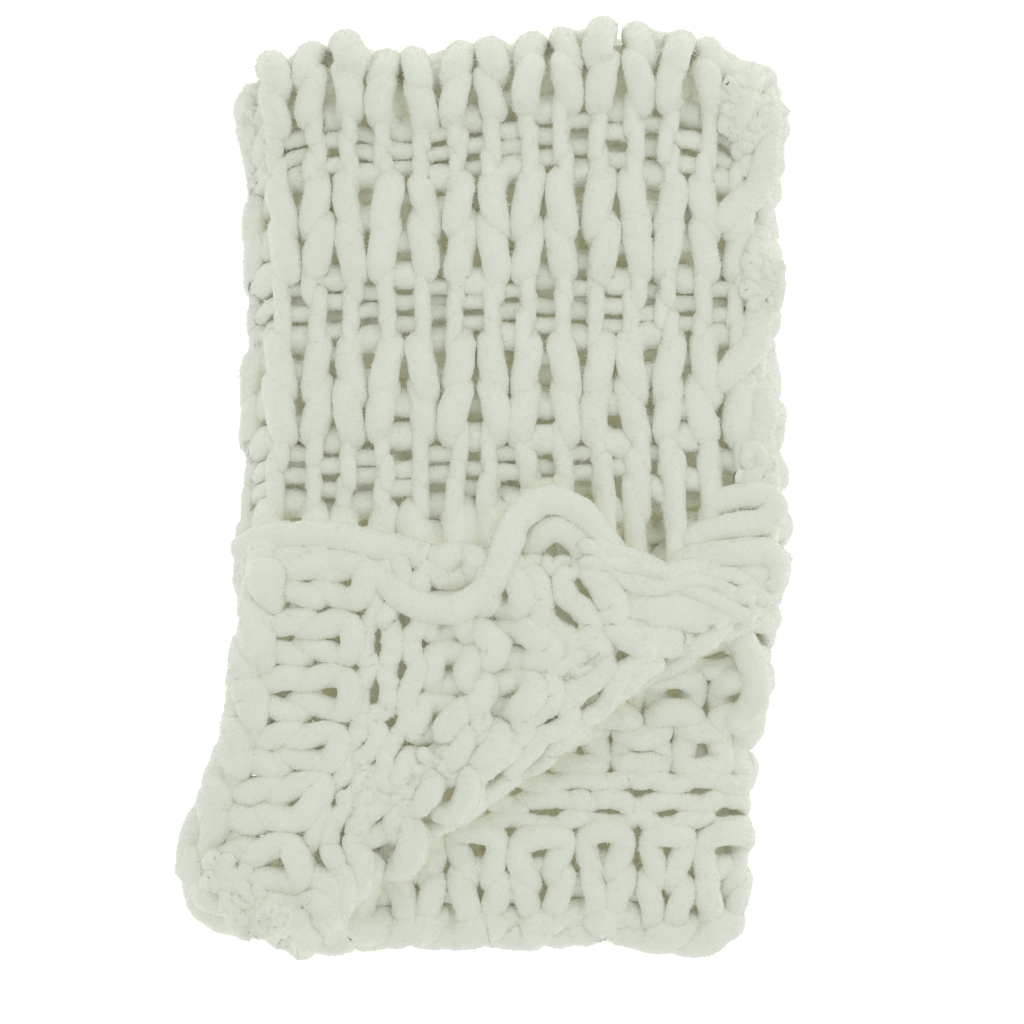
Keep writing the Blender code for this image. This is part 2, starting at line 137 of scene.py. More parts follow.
# The yarns: half the thickness, how far a stitch swings to each face, how much its legs splay as a share of
# its width, how upright they are, and the tube's steps to a stitch and sides
THICK = {"radius": 0.0116, "depth": 0.0062, "splay": 0.155, "square": 1.35, "steps": 28, "sides": 14}
THIN = {"radius": 0.0066, "depth": 0.0048, "splay": 0.100, "square": 2.2, "steps": 28, "sides": 11}
FLATTEN = 0.90  # a yarn is pressed a little flat in the cloth
STRETCH_LIMITS = (0.85, 1.40)  # how much thinner or thicker it gets where the cloth is laid closer or wider
STRETCH_STEP = 0.012  # the laying is measured this far to each side
STRETCH_EASE = 9  # and averaged over this many steps
OUTWARD_STEP = 0.004  # the direction of the cloth's face is measured this far to each side of the cloth
LOWER_ROWS_UP = 0.36  # beyond this the second layer lies under the first
PRESSED = 0.22  # yarn pressed between the layers spreads by this share

# How far the foot, the legs and the head of a stitch swing, in shares of its yarn's depth
SWING = (-1.0, 1.0, -1.0)
BORDER_SWINGS = ((1.2, -0.9, 0.9), (0.8, -0.5, -1.5))  # the two rows beside each end
SWING_SHARP = 1.4  # how suddenly the yarn turns from one to the next
BEHIND_THICKER = 0.05  # feet and heads are this share thicker
# How far the loops of a row reach past its edge: (row is thick, neighbour is thick)
OVERLAP = {(True, True): 0.0085, (True, False): 0.0020, (False, True): 0.0120, (False, False): 0.0055}

# The rows from the top layer's free end up to LOOSE_ROWS hang looser
LOOSE_ROWS = 12
LOOSE_THICK_SWING = (-0.3, 0.9, -1.4)
LOOSE_THIN_SWING = (-0.9, -0.8, -1.0)
LOOSE_SPLAY = 0.175  # the thick ones have wide heads
LOOSE_SQUARE = 0.50  # and legs this many times as upright
LOOSE_GAP = 0.001  # and lie this far from the thin ones
LOOSE_THIN_WAVE = 0.40  # the thin ones lie in even waves of this share of their height
LOOSE_THIN_RADIUS = 1.42  # in yarn this many times as thick

# The cross fold. Each effect is complete up to the first distance from its middle, up the cloth, and ends at
# the second.
FOLD_PULL = 0.021  # the thin rows are pulled in between the thick ones
FOLD_THIN_NEAR = (0.02, 0.07)
FOLD_HEADS = 0.014  # the feet and heads of the thick rows are pulled in as well
FOLD_LEGS = 0.011  # while their legs stand out
FOLD_LUMPS = 0.004  # and all rows are this uneven
FOLD_NEAR = (0.05, 0.10)

# How unevenly the yarn lies in a row of stitches. Up and out this is multiplied by the least share plus the
# yarn's radius as a share of the thick yarn's.
ACROSS_UNEVEN = 0.0022
UP_UNEVEN = 0.0018
OUT_UNEVEN = 0.0014
UNEVEN_LEAST = 0.4
RADIUS_UNEVEN = 0.04

# The edging along a free end: two strands twisted together
EDGING_UP = 0.0205  # it runs this far from the end
EDGING_HIDDEN = 0.007  # below the second layer it runs this much further in
EDGING_HALF = 0.0080  # half the distance between its strands
EDGING_RADIUS = 0.0128
EDGING_PRESSED = 0.14  # the strands are this share thinner where they lie nearest the end or furthest from it
EDGING_STEPS = 18  # to each stitch
EDGING_WIDTH = 0.025  # the first row's feet are this far from the free end
EDGING_LIFT = 0.006  # how far it stands out of the turned corner, and sinks behind the layer below
TWIST_UNEVEN = 0.30
EDGING_UP_UNEVEN = 0.001
EDGING_ACROSS_UNEVEN = 0.003
EDGING_RADIUS_UNEVEN = 0.05

# Where a row's yarn turns at a side of the cloth
TURN_REACH = 0.002  # how unevenly it reaches past the side
TURN_STEPS = 16
TURN_PATH = (
    # inside the side, times the reach past it, share of the row's height, further up, share of the depth
    (0.012, 0.0, 0.10, 0.000, -1.0),
    (0.000, 1.0, 0.25, 0.000, 0.0),
    (0.000, 1.6, 0.50, 0.004, 1.0),
    (0.000, 1.0, 0.90, 0.000, 0.0),
    (0.012, 0.0, 1.10, 0.000, -1.0),
)
# The thick yarn where it is carried up the top layer's free side, past a band of thin rows
FLOAT_RADIUS = 1.02 * THICK["radius"]
FLOAT_BULGE = 0.001  # it stands this far past the side
FLOAT_BULGE_UNEVEN = 0.002
FLOAT_PATH = (
    # across, times the bulge, share of the band's height, further up, out
    (0.034, 0.0, 0.0, -0.040, 0.006),
    (0.018, 0.0, 0.0, -0.020, 0.010),
    (0.002, 0.0, 0.0, -0.004, 0.010),
    (0.000, 1.0, 0.0, 0.014, 0.007),
    (-0.002, 1.0, 0.5, 0.008, 0.005),
    (0.002, 1.0, 1.0, 0.004, 0.003),
    (0.008, 0.0, 1.0, 0.020, -0.002),
)

# Thick yarn carried along the turned corner's side: its heights before the stack sags, and its x and y
CARRIED = (
    (
        (0.164, 0.172, 0.178, 0.176, 0.172, 0.156),
        (
            *((-0.179, -0.058), (-0.151, -0.053), (-0.123, -0.055), (-0.101, -0.069), (-0.079, -0.085)),
            *((-0.050, -0.092), (-0.026, -0.082), (-0.011, -0.063), (-0.003, -0.041), (0.007, -0.019)),
            *((0.026, -0.006), (0.049, -0.011), (0.067, -0.030), (0.083, -0.053), (0.098, -0.072)),
        ),
    ),
    (
        (0.150, 0.166, 0.172, 0.168, 0.156),
        (
            *((-0.218, -0.050), (-0.197, -0.038), (-0.167, -0.034), (-0.135, -0.034)),
            *((-0.108, -0.042), (-0.080, -0.048), (-0.056, -0.058)),
        ),
    ),
    ((0.150, 0.168, 0.164), ((-0.197, -0.085), (-0.192, -0.063), (-0.173, -0.050), (-0.143, -0.047))),
    (
        (0.150, 0.164, 0.168, 0.164, 0.152),
        (
            *((0.016, -0.056), (0.018, -0.038), (0.032, -0.028)),
            *((0.048, -0.034), (0.057, -0.050), (0.050, -0.069)),
        ),
    ),
    (
        (0.146, 0.164, 0.168, 0.160, 0.142),
        (
            *((0.133, -0.042), (0.158, -0.031), (0.184, -0.026), (0.199, -0.021), (0.204, -0.011)),
            *((0.196, -0.003), (0.173, -0.005), (0.149, -0.013)),
        ),
    ),
    (
        (0.150, 0.172, 0.168, 0.160, 0.146),
        (
            *((0.124, -0.060), (0.149, -0.051), (0.177, -0.047), (0.197, -0.046), (0.205, -0.054)),
            *((0.202, -0.067), (0.184, -0.074), (0.160, -0.076)),
        ),
    ),
    (
        (0.150, 0.170, 0.150),
        ((0.102, -0.080), (0.133, -0.088), (0.165, -0.091), (0.190, -0.087), (0.204, -0.077)),
    ),
    (
        (0.128, 0.134, 0.134, 0.122),
        (
            *((0.166, -0.105), (0.180, -0.117), (0.188, -0.134)),
            *((0.192, -0.156), (0.184, -0.173), (0.168, -0.184)),
        ),
    ),
)
LOOSE_STEPS = 60
# A loose bunch of thin yarn on the same side, its height before the stack sags, and how wide most of it lies
BUNDLE = ((0.062, -0.046), (0.100, -0.056), (0.135, -0.066), (0.165, -0.076), (0.192, -0.084))
BUNDLE_HEIGHT = 0.172
BUNDLE_WIDTH = 0.020
BUNDLE_COUNT = 7
BUNDLE_STEPS = 40
# Frizzy heaps of thin yarn: the places that they lie along, their height before sagging, spread and count
TANGLES = (
    (((-0.118, -0.240), (-0.088, -0.228), (-0.056, -0.211), (-0.026, -0.194)), 0.170, 0.009, 26),
    (((-0.232, -0.292), (-0.212, -0.318), (-0.188, -0.332), (-0.172, -0.337)), 0.174, 0.009, 26),
    (((0.168, 0.314), (0.180, 0.300), (0.186, 0.284)), 0.152, 0.008, 20),
    (((0.186, 0.190), (0.196, 0.172), (0.196, 0.152)), 0.154, 0.007, 14),
    (((0.184, 0.036), (0.194, 0.018), (0.192, 0.002)), 0.154, 0.007, 14),
    (((0.064, -0.062), (0.094, -0.078), (0.128, -0.086)), 0.168, 0.008, 16),
    (((0.024, -0.150), (0.052, -0.130), (0.082, -0.112), (0.110, -0.096)), 0.168, 0.008, 22),
    (((-0.192, -0.328), (-0.186, -0.331), (-0.181, -0.334)), 0.196, 0.004, 8),
)
TANGLE_BENDS = 4
TANGLE_RADIUS = 0.0066
TANGLE_STEPS = 30
TANGLE_PLACES = 50  # each end starts at one of these places along its heap
THIN_SIDES = 10  # sides of the tubes in the heaps and the bundle

# The uneven surface of a yarn: broad lumps, as a share of its radius, and fine tufts
LUMPS = 0.13
LUMP_SIZE = 0.010
TUFTS = 0.0009
TUFT_SIZE = 0.0035
ROUND_END_LEAST = 0.12  # a tube's last ring is this share of its radius
# Large numbers that mix a lattice point into a random value
MIX_POINT = np.array([73856093, 19349663, 83492791])
MIX_SEED = 2654435761
MIX_BITS = 1274126177
LOW_BITS = 0xFFFF

# What can be seen, on a grid of SEEN_CELL. A spread takes the stack's surface over that many cells around.
SEEN_CELL = 0.0015
SHOWN_DEPTH = 0.012  # yarn deeper than this has only one in HIDDEN_STEP of its rings
SHOWN_SPREAD = 2
SHOWN_RINGS = 5  # and so many rings round one that shows are kept
HIDDEN_STEP = 4
INSIDE = (0.009, 0.028)  # the gaps are from not at all to fully inside the stack at these depths, which sets how strongly the painted light glows there
INSIDE_SPREAD = 3

# The pile: fine fibres that stand out of the yarns
FIBRES = 350000
FIBRE_PIECES = 2
FIBRE_LENGTH = 0.0028
FIBRE_LENGTHS = (0.6, 1.3)  # least and most, times that length
FIBRE_WIDTH = 0.0006
FIBRE_LEAN = 0.5
FIBRE_SUNK = 0.0003
FIBRE_DEPTH = 0.004  # fibres stand only on yarn less deep than this
FIBRE_SPREAD = 1
FIBRE_DOWN = -0.5  # and not where it faces further down than this

# The yarn's look
TINTS = ((0.30, (0.930, 0.940, 0.855, 1.0)), (0.72, (0.960, 0.968, 0.895, 1.0)))
CLOUD_SCALE = 26.0
CLOUD_DETAIL = 3.0
FUZZ_SCALE = 520.0
FUZZ_DETAIL = 4.0
FUZZ_STRENGTH = 0.55
FUZZ_HEIGHT = 0.0012
GAP_PAINTED_LIGHT = 0.058  # painted light: how strongly the yarn glows deep inside the gaps, standing in for the light that the white yarn passes on there
# the painted light's pale yellow colour in the gaps
GAP_PAINTED_LIGHT_COLOUR = (1.0, 1.0, 0.62, 1.0)

# The studio
FLOOR_HALF = 6.0
FLOOR_COLOUR = (0.95, 0.95, 0.95, 1.0)
FLOOR_GLOW = 0.5
WORLD_COLOUR = (0.955, 1.0, 0.965, 1.0)
WORLD_STRENGTH = 0.70
KEY_PLACE = (0.9, 1.2, 2.6)
KEY_SIZE = 2.0
KEY_POWER = 7.0
CAMERA_PLACE = (0.0004, -0.0154, 5.1)
CAMERA_SENSOR = 36.0
FRAME_WIDTH = 0.809  # what the camera takes in, at FRAME_HEIGHT
FRAME_HEIGHT = 0.10

KNIT_PIECES = 4


def row_heights():
    """(height, is thick) of every row, from the top layer's free end."""
    thick = [(height, True) for height in THICK_ROWS]
    thin = [(height, False) for height in THIN_ROWS]
    first = [(height, True) for height in END_ROWS]
    return first + (thin + thick) * INNER_BANDS + thin + first[::-1]


ROWS = row_heights()
ROW_EDGES = np.concatenate([[0.0], np.cumsum([height for height, _ in ROWS])])
LENGTH = float(ROW_EDGES[-1])


# ---------------------------------------------------------------- the folded cloth


def smooth(low, high, value):
    """0 below low, 1 above high, and a smooth step between them."""
    t = np.clip((value - low) / (high - low), 0.0, 1.0)
    return t * t * (3.0 - 2.0 * t)


def unit(ways):
    """The same directions, each of length 1."""
    return ways / np.maximum(np.linalg.norm(ways, axis=-1, keepdims=True), 1e-9)


def across_strip(across, out):
    """x, the height above the strip's inner face, and that height in the middle of the cloth."""
    middles = [(LAYERS / 2 - 0.5 - k) * LAYER for k in range(3)]
    left = np.clip((across - PANEL) / BEND, 0.0, math.pi)
    second = across - PANEL - TURN
    right = np.clip((second - PANEL) / BEND, 0.0, math.pi)
    third = second - PANEL - TURN
    half = PANEL / 2
    spread = FREE_SIDE_OUT * (1 - across / PANEL)
    places = [
        (across <= PANEL, half - across + spread, middles[0] + out, middles[0] + 0 * out),
        (
            second <= 0,
            -half - (BEND + out) * np.sin(left),
            middles[1] + BEND + (BEND + out) * np.cos(left),
            middles[1] + BEND + BEND * np.cos(left),
        ),
        (second <= PANEL, second - half, middles[1] - out, middles[1] + 0 * out),
        (
            third <= 0,
            half + (BEND - out) * np.sin(right),
            middles[2] + BEND + (BEND - out) * np.cos(right),
            middles[2] + BEND + BEND * np.cos(right),
        ),
    ]
    last = (half - third, middles[2] + out, middles[2] + 0 * out)
    tests = [place[0] for place in places]
    return [np.select(tests, [place[1 + k] for place in places], last[k]) for k in range(3)]


def cross_reach(height):
    """How far the cross fold reaches past its start, at this height above the strip's inner face."""
    return np.minimum(height, CROSS_ROUND) + CROSS_FLAT * np.maximum(height - CROSS_ROUND, 0.0)


def cross_cloth(middle):
    """How much cloth lies before the cross fold, and how much goes round it."""
    flat = CROSS_Y - END_Y
    curve = math.pi * np.sqrt((cross_reach(middle) ** 2 + middle**2) / 2)
    scale = LENGTH / (2 * flat + curve)
    return flat * scale, curve * scale


def along_strip(height, middle, up):
    """y and z from the middle plane, once the strip is folded in half."""
    flat, curve = cross_cloth(middle)
    turn = np.clip((up - flat) / curve, 0.0, 1.0) * math.pi
    straight = (CROSS_Y - END_Y) / flat
    y = np.where(up < flat, END_Y + up * straight, CROSS_Y + cross_reach(height) * np.sin(turn))
    y = np.where(up > flat + curve, END_Y + (LENGTH - up) * straight, y)
    return y, height * np.cos(turn)


def narrow(x, y):
    """x and y once the stack has narrowed towards its free ends and at the cross fold's corners."""
    narrowed = x * (1 - NARROW * smooth(-NARROW_Y, -END_Y, -y))
    cut = CORNER_CUT * smooth(*CORNER_CUT_X, np.abs(narrowed)) * smooth(*CORNER_CUT_Y, y)
    return narrowed, y - cut


def sag(x, y):
    """The share of its height that the stack keeps here. It falls off to its sides and its free ends."""
    side = np.clip(np.abs(x) / SIDE_FALL_X, 0.0, SIDE_FALL_END) ** 2
    end = np.clip((END_FALL_Y - y) / END_FALL_REACH, 0.0, END_FALL_END) ** 2
    return 1 - SIDE_FALL * side - END_FALL * end


def lay(across, up, out):
    """x, y and the height before sagging of the cloth, before its corner is turned."""
    x, height, middle = across_strip(across, out)
    y, z = along_strip(height, middle, up)
    return *narrow(x, y), z + LAYERS / 2 * LAYER - (LAYER - CLOTH) / 2


def turned_wale(across):
    """The crease's x and y for cloth this far across, and the direction and length of the cloth past it."""
    table = np.array(TURNED_WALES)
    columns = [np.interp(across, table[:, 0], table[:, k]) for k in range(2, 6)]
    crease, aim = np.stack(columns[:2], axis=-1), np.stack(columns[2:], axis=-1)
    length = np.linalg.norm(aim - crease, axis=-1)
    return crease, (aim - crease) / length[..., None], length


def crease_up(across):
    """How far up the flat cloth the crease starts, for cloth this far across."""
    table = np.array(TURNED_WALES)
    return np.interp(across, table[:, 0], table[:, 1])


def crease_outward():
    """The direction across the crease, away from the turned cloth."""
    first, last = np.array(TURNED_WALES[0][2:4]), np.array(TURNED_WALES[-1][2:4])
    along = (last - first) / np.linalg.norm(last - first)
    return np.array([-along[1], along[0]])


OUTWARD = crease_outward()


def turned(across, up, out):
    """x, y and the height before sagging of the cloth past the crease."""
    crease, towards, length = turned_wale(across)
    start = crease_up(across)
    past = np.maximum(start - up, 0.0)
    angle = np.minimum(past / CREASE_ROLL, 1.0) * math.pi
    flat_up = np.maximum(start - CREASE_ROLL, 0.0)
    total = np.interp(flat_up, *TURNED_STRETCH)
    laid = np.interp(np.minimum(up, flat_up), *TURNED_STRETCH)
    missing = (length - total) * smooth(*FITTED_LENGTHS, total)
    fitted = smooth(END_ROWS_LAID, np.maximum(total, END_ROWS_LAID + LEAST_FITTED), laid)
    reach = total - laid + missing * (1 - fitted) + np.maximum(-up, 0.0)
    flat = crease + towards * reach[..., None]
    flat = flat + OUTWARD * ((BEND - out) * np.sin(angle))[..., None]
    side = np.stack([-towards[..., 1], towards[..., 0]], axis=-1)
    flat = flat + side * np.minimum(across, 0.0)[..., None]
    sx, sy = flat[..., 0], flat[..., 1]
    top = (LAYERS - 0.5) * LAYER - (LAYER - CLOTH) / 2
    z = top + BEND - (BEND - out) * np.cos(angle)
    over = np.maximum(-side_x(sy) - sx, 0.0)
    return sx, sy, z - OVERHANG_FALL * over**2 / (over + OVERHANG_ROUND)


def side_x(y):
    """Half the stack's width at this y."""
    half = PANEL / 2 + BEND + CLOTH / 2
    return half * (1 - NARROW * smooth(-NARROW_Y, -END_Y, -y))


def settle(x, y, z):
    """Points of the stack once it has sagged, its outline is uneven and its underside is flat."""
    z = z * sag(x, y)
    y = y + np.interp(x, TOP_X, TOP_OUT) * smooth(*TOP_Y, y)
    y = y - np.interp(x, BOTTOM_X, BOTTOM_OUT) * smooth(*BOTTOM_DOWN, -y)
    x = x - LOWER_RIGHT_IN * smooth(*LOWER_RIGHT_DOWN, -y) * smooth(*LOWER_RIGHT_X, x)
    x = x * (1 - UPPER_IN * smooth(*UPPER_START, y) * (1 - smooth(*UPPER_STOP, y)))
    low = FLOOR_SOFT * np.exp((np.minimum(z, FLOOR_SOFT) - FLOOR_SOFT) / FLOOR_SOFT)
    return np.stack([x, y, np.where(z < FLOOR_SOFT, low, z)], axis=-1)


def place(points):
    """x, y and z of any points of the folded cloth."""
    across, up, out = np.moveaxis(np.asarray(points, float), -1, 0)
    start = crease_up(np.minimum(across, PANEL))
    in_corner = (across < TURNED_WALES[-1][0]) & (up < start)
    x, y, z = lay(across, up, out)
    crease, _, _ = turned_wale(across)
    foot = np.stack(lay(np.minimum(across, TURNED_WALES[-1][0]), start, 0 * out)[:2], axis=-1)
    gives = smooth(np.maximum(HIDDEN_Y, foot[..., 1] + LEAST_GIVE), foot[..., 1], y) * (up < LENGTH / 2)
    gives = gives * smooth(PANEL + TURN, TURNED_WALES[-1][0], across)
    pull = (crease - foot) * gives[..., None]
    laid = (x + pull[..., 0], y + pull[..., 1], z)
    return settle(*(np.where(in_corner, a, b) for a, b in zip(turned(across, up, out), laid)))


def outward(points):
    """The direction of the cloth's knit face at these points."""
    flat = np.array(points, float)
    flat[..., 2] = 0.0
    lift = np.array([0.0, 0.0, OUTWARD_STEP])
    return unit(place(flat + lift) - place(flat - lift))


# ---------------------------------------------------------------- yarn as tubes


def noise(points, cell, seed):
    """Smooth random values from -1 to 1 that change over about one cell."""
    scaled = points / cell
    base = np.floor(scaled).astype(np.int64)
    t = scaled - base
    t = t * t * (3.0 - 2.0 * t)
    total = np.zeros(points.shape[:-1])
    for corner in range(8):
        offset = np.array([(corner >> k) & 1 for k in range(3)])
        key = (base + offset) @ MIX_POINT + seed * MIX_SEED
        key = (key ^ (key >> 13)) * MIX_BITS
        value = 2.0 * ((key ^ (key >> 16)) & LOW_BITS) / LOW_BITS - 1.0
        total += value * np.prod(np.where(offset == 1, t, 1.0 - t), axis=-1)
    return total


def add_object(name, data, material):
    """An object of this mesh and material, in the scene."""
    data.materials.append(material)
    piece = bpy.data.objects.new(name, data)
    bpy.context.scene.collection.objects.link(piece)
    return piece


class Tube:
    """A closed tube of yarn: rings of points, and the directions in which they face."""

    def __init__(self, rings, ways):
        self.rings = rings
        self.ways = ways
        self.depth = None

    def keep(self, kept):
        """Drops all rings but these."""
        self.rings, self.ways, self.depth = self.rings[kept], self.ways[kept], self.depth[kept]

    def areas(self):
        """The surface that each point stands for."""
        along = np.linalg.norm(np.gradient(self.rings, axis=0), axis=-1)
        beside = np.linalg.norm(np.roll(self.rings, -1, axis=1) - self.rings, axis=-1)
        return along * beside

    def faces(self, first):
        """Quads between the rings, and both ends, for points numbered from first."""
        count, sides = self.rings.shape[:2]
        index = first + np.arange(count * sides).reshape(count, sides)
        beside = np.roll(index, -1, axis=1)
        quads = np.stack([index[:-1], beside[:-1], beside[1:], index[1:]], axis=-1).reshape(-1, 4)
        return quads.tolist() + [index[0, ::-1].tolist(), index[-1].tolist()]


class YarnMesh:
    """Collects tubes of yarn into one mesh."""

    def __init__(self, name):
        self.name = name
        self.tubes = []

    def tube(self, line, ways, radius, sides):
        """A closed tube along line, with each ring pressed along ways, and an uneven surface."""
        tangent = unit(np.gradient(line, axis=0))
        beside = unit(np.cross(tangent, ways))
        above = np.cross(beside, tangent)
        angle = np.arange(sides) / sides * 2 * math.pi
        around = (
            beside[:, None] * np.cos(angle)[None, :, None]
            + above[:, None] * np.sin(angle)[None, :, None] * FLATTEN
        )
        rings = line[:, None] + around * radius[:, None, None]
        lumps = LUMPS * radius[:, None] * noise(rings, LUMP_SIZE, SEED)
        lumps = lumps + TUFTS * noise(rings, TUFT_SIZE, SEED + 1)
        rings = line[:, None] + around * (radius[:, None] + lumps)[..., None]
        rings[..., 2] = np.maximum(rings[..., 2], 0.0)
        self.tubes.append(Tube(rings, around))

    def build(self, material):
        """The finished object, riding on the frame."""
        points = np.concatenate([tube.rings.reshape(-1, 3) for tube in self.tubes])
        depth = np.concatenate([tube.depth.reshape(-1) for tube in self.tubes])
        faces, first = [], 0
        for tube in self.tubes:
            faces.extend(tube.faces(first))
            first += tube.depth.size
        data = bpy.data.meshes.new(self.name)
        data.from_pydata(points.tolist(), [], faces)
        data.polygons.foreach_set("use_smooth", [True] * len(data.polygons))
        # painted light mask: how far inside the stack each point lies, which sets how much the yarn glows
        # there
        inside = data.attributes.new("inside", "FLOAT", "POINT")
        inside.data.foreach_set("value", smooth(*INSIDE, depth))
        piece = add_object(self.name, data, material)
        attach(piece, "root")
        return piece


def depths(points, spread):
    """How deep each point lies behind the others, from above or from the side where it lies least deep."""
    least = np.full(len(points), np.inf)
    for axis, sign in ((2, 1), (0, 1), (0, -1), (1, 1), (1, -1)):
        flat = [k for k in range(3) if k != axis]
        low = points.min(axis=0)[flat] - SEEN_CELL
        size = np.ceil((points.max(axis=0)[flat] + SEEN_CELL - low) / SEEN_CELL).astype(int) + 1
        cells = tuple(((points[:, flat] - low) / SEEN_CELL).astype(int).T)
        front = np.full(size, -np.inf)
        np.maximum.at(front, cells, sign * points[:, axis])
        for _ in range(spread):
            for shift in (0, 1):
                beside = np.maximum(np.roll(front, 1, axis=shift), np.roll(front, -1, axis=shift))
                front = np.maximum(front, beside)
        least = np.minimum(least, front[cells] - sign * points[:, axis])
    return least


def thin_out(meshes):
    """Finds each point's depth inside the stack, and drops most rings of the yarn that can't be seen."""
    tubes = [tube for mesh in meshes for tube in mesh.tubes]
    points = np.concatenate([tube.rings.reshape(-1, 3) for tube in tubes])
    behind = depths(points, SHOWN_SPREAD)
    inside = depths(points, INSIDE_SPREAD)
    first = 0
    for tube in tubes:
        count, sides = tube.rings.shape[:2]
        block = slice(first, first + count * sides)
        tube.depth = inside[block].reshape(count, sides)
        shows = (behind[block].reshape(count, sides) < SHOWN_DEPTH).any(axis=1)
        shows = np.convolve(shows, np.ones(SHOWN_RINGS), mode="same") > 0.5
        kept = shows | (np.arange(count) % HIDDEN_STEP == 0)
        kept[-1] = True
        tube.keep(kept)
        first += count * sides


def neighbours(count, sides):
    """How many places on each point's neighbours are in a tube's list: on the next ring, and beside it."""
    index = np.arange(count * sides).reshape(count, sides)
    next_ring = np.concatenate([index[1:], index[-1:]]) - index
    next_side = np.roll(index, -1, axis=1) - index
    return next_ring.reshape(-1), next_side.reshape(-1)


def fibre_roots(tubes, random):
    """Where fibres stand, evenly over all of the yarn that can be seen, and the ways in which it faces."""
    points = np.concatenate([tube.rings.reshape(-1, 3) for tube in tubes])
    ways = np.concatenate([tube.ways.reshape(-1, 3) for tube in tubes])
    areas = np.concatenate([tube.areas().reshape(-1) for tube in tubes])
    steps = [neighbours(*tube.rings.shape[:2]) for tube in tubes]
    next_ring, next_side = (np.concatenate(part) for part in zip(*steps))
    areas = areas * ((depths(points, FIBRE_SPREAD) < FIBRE_DEPTH) & (ways[:, 2] > FIBRE_DOWN))
    chosen = np.sort(random.choice(len(points), FIBRES, p=areas / areas.sum()))
    along, beside = random.uniform(0.0, 1.0, (2, FIBRES, 1))
    ring, side = chosen + next_ring[chosen], chosen + next_side[chosen]
    both = ring + next_side[ring]
    root, way = (
        (grid[chosen] * (1 - along) + grid[ring] * along) * (1 - beside)
        + (grid[side] * (1 - along) + grid[both] * along) * beside
        for grid in (points, ways)
    )
    return root, unit(way)


def fibre_corners(root, way, random):
    """Each fibre's three corners: a narrow foot, sunk into the yarn, and a tip that leans any way."""
    lean = unit(way + random.normal(0.0, FIBRE_LEAN, root.shape))
    half = unit(np.cross(lean, random.normal(0.0, 1.0, root.shape))) * FIBRE_WIDTH / 2
    length = FIBRE_LENGTH * random.uniform(*FIBRE_LENGTHS, FIBRES)[:, None]
    foot = root - way * FIBRE_SUNK
    corners = np.stack([foot - half, foot + half, foot + lean * length], axis=1)
    corners[..., 2] = np.maximum(corners[..., 2], 0.0)
    return corners


def add_pile(meshes, material, random):
    """Fibres over all of the yarn that can be seen, one triangle each."""
    root, way = fibre_roots([tube for mesh in meshes for tube in mesh.tubes], random)
    corners = fibre_corners(root, way, random)
    for part, block in enumerate(np.split(corners, FIBRE_PIECES)):
        name = f"pile_{part}"
        data = bpy.data.meshes.new(name)
        triangles = np.arange(block.size // 3).reshape(-1, 3)
        data.from_pydata(block.reshape(-1, 3).tolist(), [], triangles.tolist())
        piece = add_object(name, data, material)
        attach(piece, "root")


def rounded(radius, line):
    """The radius drawn in to a round end at both ends of a line."""
    step = np.linalg.norm(np.diff(line, axis=0), axis=1)
    along = np.concatenate([[0.0], np.cumsum(step)])
    near = np.minimum(along, along[-1] - along)
    share = np.clip(near / radius, 0.0, 1.0)
    return radius * np.maximum(np.sqrt(1 - (1 - share) ** 2), ROUND_END_LEAST)


def wander(random, steps, size):
    """A smooth random walk round 0 along a row, with a new value every quarter of a stitch."""
    quarters = WALES * 4
    values = random.normal(0.0, size, quarters + 2)
    along = np.linspace(0.0, quarters, steps)
    base = along.astype(int)
    t = smooth(0.0, 1.0, along - base)
    return values[base] * (1 - t) + values[base + 1] * t


def stretch(points):
    """How much wider the cloth is laid here than it was knitted."""
    share = np.ones(len(points))
    flat = points * (1.0, 1.0, 0.0)
    for axis in (0, 1):
        step = np.zeros(3)
        step[axis] = STRETCH_STEP
        share *= np.linalg.norm(place(flat + step) - place(flat - step), axis=-1) / (2 * STRETCH_STEP)
    kernel = np.ones(STRETCH_EASE) / STRETCH_EASE
    eased = np.convolve(np.pad(share, STRETCH_EASE // 2, mode="edge"), kernel, mode="valid")
    return np.clip(np.sqrt(eased), *STRETCH_LIMITS)


def swings(row):
    """How far a row's feet, legs and heads swing towards the knit face."""
    from_end = min(row, len(ROWS) - 1 - row)
    if from_end < len(BORDER_SWINGS):
        return BORDER_SWINGS[from_end]
    if row >= LOOSE_ROWS:
        return SWING
    return LOOSE_THICK_SWING if ROWS[row][1] else LOOSE_THIN_SWING


def overlap(row, neighbour):
    """How far a row's loops reach past the edge that it shares with a neighbour."""
    thick, beside = ROWS[row][1], ROWS[neighbour][1]
    if row < LOOSE_ROWS and not (thick and beside):
        return -LOOSE_GAP if thick else 0.0
    return OVERLAP[thick, beside]


def facing(across):
    """1 where the knit face is the stack's outer side, -1 in the layer folded back, 0 midway round a bend."""
    folded_back = smooth(PANEL, PANEL + TURN, across)
    forward_again = smooth(2 * PANEL + TURN, 2 * (PANEL + TURN), across)
    return 1 - 2 * folded_back + 2 * forward_again


def yarn_of(row):
    """The yarn that a row is knitted with."""
    return THICK if ROWS[row][1] else THIN


def row_reach(row):
    """How far down and how far up the flat cloth a row's loops reach."""
    low, high = ROW_EDGES[row], ROW_EDGES[row + 1]
    low = low - overlap(row, row - 1) if row else low + EDGING_WIDTH
    high = high + overlap(row, row + 1) if row + 1 < len(ROWS) else high - EDGING_WIDTH
    return low, high


def stitch_wave(row, t):
    """How high the yarn runs, from -1 at a row's feet to 1 at its heads, and how much its legs splay."""
    yarn, loose = yarn_of(row), row < LOOSE_ROWS
    if loose and yarn is THIN:
        return LOOSE_THIN_WAVE * np.cos(t) * (-1) ** row, 0.0
    square = yarn["square"] * (LOOSE_SQUARE if loose else 1.0)
    wave = -np.tanh(square * np.cos(t)) / math.tanh(square)
    return wave, LOOSE_SPLAY if loose else yarn["splay"]


